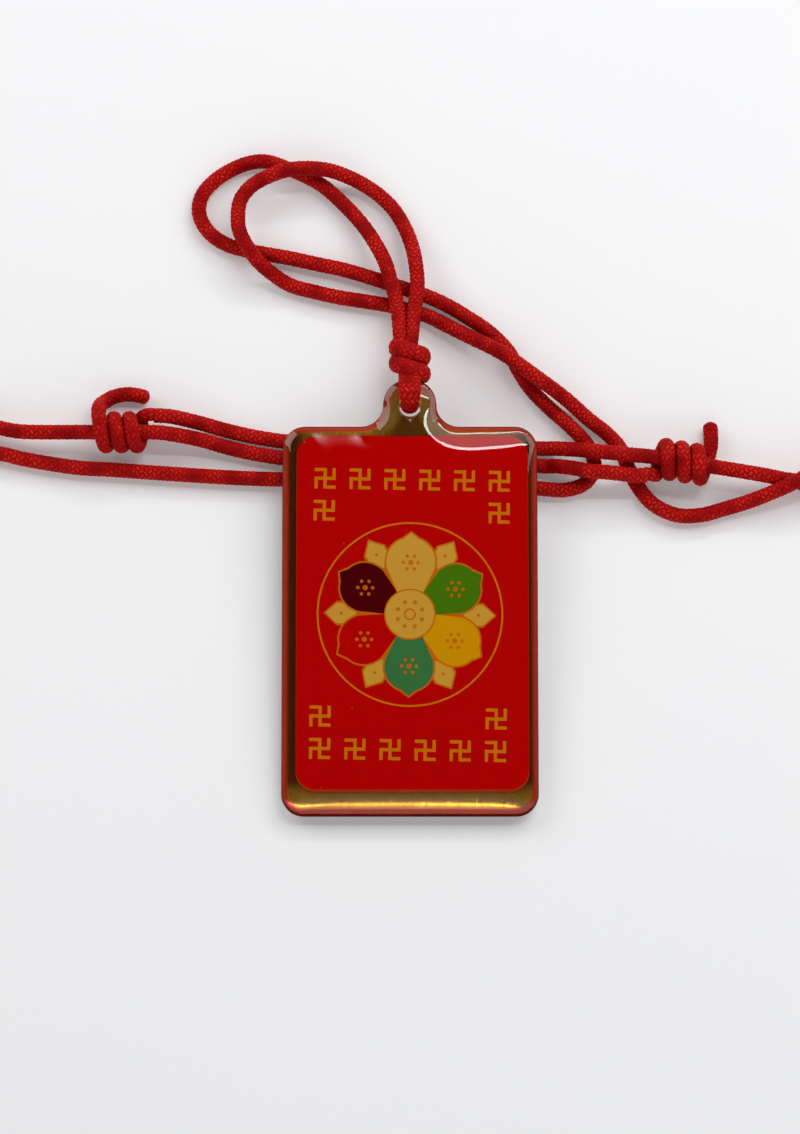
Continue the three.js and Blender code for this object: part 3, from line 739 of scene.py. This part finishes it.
def film_finish(name, width, height, centre, with_signs):
    """The print on a film of that size about a centre on the card."""
    film, shader, start = new_material(name)
    x, y, _ = split(on_card(start, print_centre, print_turn))
    film_x, film_y, _ = split(on_card(start, centre))
    inside = inside_corner(film_x, abs(film_y), width / 2, height / 2, film_round)
    speck = on_card(start).noise(1.6, 5)
    ground = (speck.rise(0.4, 0.8) * 0.35).tint(print_red, print_dark)
    colours = petal_colours if with_signs else [print_red, print_gold] + [print_red] * 4
    colour = lotus(x, y, ground, colours)
    if with_signs:
        colour = signs_mask(x, y).tint(colour, print_gold)
    scratch = on_card(start).stretched(2.6, 1.1, 1).noise(1, 1)
    colour = (scratch.rise(0.8, 0.84) * 0.35).tint(colour, scratch_colour)
    colour = (inside < print_edge_width).tint(colour, print_edge)
    give(shader, Base_Color=colour, Roughness=0.42 + speck * 0.1)
    shader.inputs["Specular IOR Level"].default_value = 0
    return film


for node, name, width, height, centre in (
    ("front_print_panel", "front_print", 26.6, 41.2, (0.28, 0.9)),
    ("back_print_panel", "back_print", 26.4, 41, (0, 0)),
):
    dress(node, film_finish(name, width, height, centre, node == "front_print_panel"))

# Resin domes: clear resin poured over both sides, up to the card's outline, where it curves down
# to a thin edge. It thins out over the ear, and the cord hole goes through it.
resin_inset = 0.05  # from the card's outline
resin_x, resin_y = card_half[0] - resin_inset, card_half[1] - resin_inset
resin_ear_x, resin_ear_y = ear_half - resin_inset, ear_top - resin_inset
outline = [
    (-resin_x, -resin_y), (resin_x, -resin_y), (resin_x, resin_y), (resin_ear_x, resin_y),
    (resin_ear_x, resin_ear_y), (-resin_ear_x, resin_ear_y), (-resin_ear_x, resin_y), (-resin_x, resin_y),
]
corner_round, neck_fillet = card_round - resin_inset, neck_round + resin_inset
ear_corner = ear_round - resin_inset
outline_rounds = [corner_round] * 3 + [neck_fillet, ear_corner, ear_corner, neck_fillet, corner_round]
resin_shoulder = 1.5  # this far in from the edge the height is about two thirds of the top's
resin_edge = 0.15
resin_on_ear = 0.84  # of the height elsewhere
ear_slope = (17, 26)  # between these places the resin thins out towards the ear
shoulder_rings, rings_width, rings_growth = 18, 2.4, 1.3
round_segments, round_least = 14, 0.03
outline_step = 0.9
top_step, top_half = 0.8, (12, 26)  # between the cuts over the top, and how far out they go
resin_sunk = 0.1  # its flat side is this far inside the plate
resin_hole, hole_segments, drill_length = 1.3, 48, 6
plate_half = 0.4

resin, resin_shader, start = new_material("clear_resin")
on_resin = on_card(start)
dust, wave = on_resin.noise(3.2, 6), on_resin.noise(0.16, 1)
give(resin_shader, Roughness=0.012 + dust.rise(0.66, 0.74) * 0.06, Normal=wave.bump(0.12, 0.0002))
resin_shader.inputs["Base Color"].default_value = (1, 0.99, 0.97, 1)
resin_shader.inputs["Transmission Weight"].default_value = 1
resin_shader.inputs["IOR"].default_value = 1.5
resin_output = resin.node_tree.nodes["Material Output"]
clear = start.node("BsdfTransparent")
in_shadow = start.node("LightPath", (), (), "Is Shadow Ray")
lit = start.node("MixShader", (), {0: in_shadow, 1: Wire(start.tree, resin_shader.outputs[0]), 2: clear})
start.tree.links.new(lit.socket, resin_output.inputs["Surface"])


def resin_dome(name, cad_node, rise, front):
    """A dome that rises over the plate's face, on the front or turned to the back."""
    shape = bmesh.new()
    corners = [shape.verts.new((x, y, 0)) for x, y in outline]
    shape.faces.new(corners)
    for corner, round_ in zip(corners, outline_rounds):
        bmesh.ops.bevel(
            shape, geom=[corner], offset=round_, segments=round_segments, profile=0.5, affect="VERTICES",
            material=-1, clamp_overlap=False,
        )
    bmesh.ops.remove_doubles(shape, verts=shape.verts, dist=round_least)
    for side in [edge for edge in shape.edges if edge.calc_length() > outline_step]:
        cuts = int(side.calc_length() / outline_step)
        bmesh.ops.subdivide_edges(shape, edges=[side], cuts=cuts)
    shape.faces.ensure_lookup_table()
    cap = shape.faces[0]
    border = np.array([vert.co[:2] for vert in cap.verts])
    steps = [rings_width * (k / shoulder_rings) ** rings_growth for k in range(shoulder_rings + 1)]
    for near, far in zip(steps, steps[1:]):
        bmesh.ops.inset_region(
            shape, faces=[cap], thickness=far - near, use_even_offset=True, use_boundary=True,
        )
    cap.material_index = 1  # marks the top while it is cut into small faces
    for normal, half in zip((Vector((1, 0, 0)), Vector((0, 1, 0))), top_half):
        for cut in np.arange(-half, half + 0.1, top_step):
            faces = [face for face in shape.faces if face.material_index == 1]
            parts = faces + [e for f in faces for e in f.edges] + [v for f in faces for v in f.verts]
            parts = list(dict.fromkeys(parts))  # each once, in the same order at every run
            bmesh.ops.bisect_plane(shape, geom=parts, plane_co=cut * normal, plane_no=normal)
    # How far inside the outline each place is: a mean over the angles at which it sees the edges
    at = np.array([vert.co[:2] for vert in shape.verts])
    to_a, to_b = border - at[:, None], np.roll(border, -1, axis=0) - at[:, None]
    side = np.linalg.norm(to_b - to_a, axis=2)
    area = to_a[..., 0] * to_b[..., 1] - to_a[..., 1] * to_b[..., 0] + 1e-9
    seen_angle = np.arctan2(area, (to_a * to_b).sum(2))
    inside = math.pi / (seen_angle * side / area).sum(1)
    ear = np.clip((at[:, 1] - ear_slope[0]) / (ear_slope[1] - ear_slope[0]), 0, 1)
    top = rise * (1 + (resin_on_ear - 1) * ear * ear * (3 - 2 * ear))
    height = resin_edge + (top - resin_edge) * (1 - np.exp(-inside / resin_shoulder))
    for vert, up in zip(shape.verts, height):
        vert.co.z = plate_half + up
    for face in shape.faces:
        face.smooth, face.material_index = True, 0
    rim = [e for e in shape.edges if e.is_boundary]
    walls = bmesh.ops.extrude_edge_only(shape, edges=rim)["geom"]
    # The walls come in any order, so the faces are sorted, to be the same at every run
    shape.verts.index_update()
    shape.faces.sort(key=lambda face: sum(vert.index**2 for vert in face.verts))
    for vert in [v for v in walls if isinstance(v, bmesh.types.BMVert)]:
        vert.co.z = plate_half - resin_sunk
    bmesh.ops.holes_fill(shape, edges=[e for e in shape.edges if e.is_boundary])
    if not front:
        bmesh.ops.scale(shape, vec=(1, 1, -1), verts=shape.verts)
    bmesh.ops.recalc_face_normals(shape, faces=shape.faces)
    dome = piece_from(shape, name)
    drill = bmesh.new()
    bmesh.ops.create_cone(
        drill, cap_ends=True, segments=hole_segments, radius1=resin_hole, radius2=resin_hole,
        depth=drill_length, matrix=Matrix.Translation((0, hole_y * 1000, 0)),
    )
    cutter = piece_from(drill, "drill")
    cut = dome.modifiers.new("hole", "BOOLEAN")
    cut.object = cutter
    bpy.context.view_layer.update()
    holed = bpy.data.meshes.new_from_object(dome.evaluated_get(bpy.context.evaluated_depsgraph_get()))
    dome.modifiers.clear()
    dome.data = holed
    bpy.data.objects.remove(cutter)
    holed.transform(card_place @ Matrix.Scale(0.001, 4))
    holed.materials.clear()
    holed.materials.append(resin)
    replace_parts(dome, cad_node)
    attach(dome, "card")


resin_dome("front_dome", "front_resin_dome", rise=1.5, front=True)
resin_dome("back_dome", "back_resin_dome", rise=0.9, front=False)

# Studio: a plain pale floor, soft lamps behind the card, a pale room in front of it and one small
# bright window overhead. The rest of the room is dark, so that the clear resin doesn't veil the
# print, but the camera sees it pale.
lamp_distance = 0.75
floor_half, floor_level = 3, -0.00002
floor_colour, floor_cloud = (0.93, 0.932, 0.94), (0.9, 0.904, 0.915)
floor_glow = 0.14, 0.5  # near the card and far off, for the camera, metal and glass
room_low, room_high = (0.36, 0.365, 0.37), (0.02, 0.02, 0.021)
room_front = (0.95, 0.96, 0.98)
room_seen = (0.84, 0.845, 0.86)  # by the camera
window_x, window_y = -0.065, 0.95  # sideways and back, for each metre up
window_half_x, window_half_y = 0.045, 0.6
window_light = (7, 7, 7)
shape = bmesh.new()
bmesh.ops.create_grid(shape, x_segments=1, y_segments=1, size=floor_half)
floor = piece_from(shape, "floor")
floor.location.z = floor_level
floor_finish, floor_shader, start = new_material("pale_floor")
on_floor = start.object_place()
cloud = on_floor.noise(9, 2)
give(floor_shader, Base_Color=(cloud.rise(0.3, 0.7) * 0.5).tint(floor_colour, floor_cloud))
direct = start.node("LightPath", (), (), "Is Camera Ray")
for kind in ("Is Glossy Ray", "Is Transmission Ray"):
    direct = direct.most(start.node("LightPath", (), (), kind))
floor_x, floor_y, _ = split(on_floor)
give(floor_shader, Emission_Color=direct * length(floor_x, floor_y).rise(0.3, 1.2).choose(*floor_glow))
floor_shader.inputs["Emission Strength"].default_value = 1
floor_shader.inputs["Roughness"].default_value = 0.7
floor.data.materials.append(floor_finish)


def lamp(name, out, turn, width, depth, brightness, aside=0):
    """A soft lamp, out from overhead by some degrees, turned from +Y towards -X, and moved aside
    to its right. A brightness of 1 is that of white paper in full light."""
    light = bpy.data.lights.new(name, "AREA")
    light.shape, light.size, light.size_y = "RECTANGLE", width, depth
    light.energy = brightness * math.pi * width * depth
    stand = bpy.data.objects.new(name, light)
    place = Matrix.Rotation(math.radians(turn), 4, "Z") @ Matrix.Rotation(math.radians(-out), 4, "X")
    place = Matrix.Translation(camera_target) @ place @ Matrix.Translation((aside, 0, lamp_distance))
    stand.matrix_world = place
    bpy.context.scene.collection.objects.link(stand)


lamp("back_lamp", out=40, turn=0, width=0.5, depth=0.39, brightness=1.6, aside=0.26)
lamp("back_lamp_far_strip", out=56, turn=0, width=0.5, depth=0.055, brightness=12, aside=0.26)
lamp("back_lamp_near_strip", out=24, turn=0, width=0.5, depth=0.04, brightness=15, aside=0.26)
lamp("left_back_lamp", out=60, turn=50, width=0.5, depth=0.4, brightness=2.9)
lamp("right_back_lamp", out=58, turn=-60, width=0.4, depth=0.3, brightness=2.6)

world = bpy.data.worlds.new("studio")
world.use_nodes = True
bpy.context.scene.world = world
start = Wire(world.node_tree)
direction = start.node("SeparateXYZ", (), {0: start.node("TexCoord", (), (), "Generated")})
back, up = direction.other(1), direction.other(2)
room = up.rise(0.1, 0.6).tint(room_low, room_high)
room = ((0 - back).rise(0.2, 0.75) * (up > 0)).tint(room, room_front)
window_at = (direction / up - window_x) / window_half_x, (back / up - window_y) / window_half_y
window = (1 - length(*window_at)).most(0)
room = (window * window * (up > 0)).tint(room, window_light)
room = start.node("LightPath", (), (), "Is Camera Ray").tint(room, room_seen)
start.tree.links.new(room.socket, world.node_tree.nodes["Background"].inputs["Color"])

bpy.context.scene.view_settings.view_transform = "Standard"
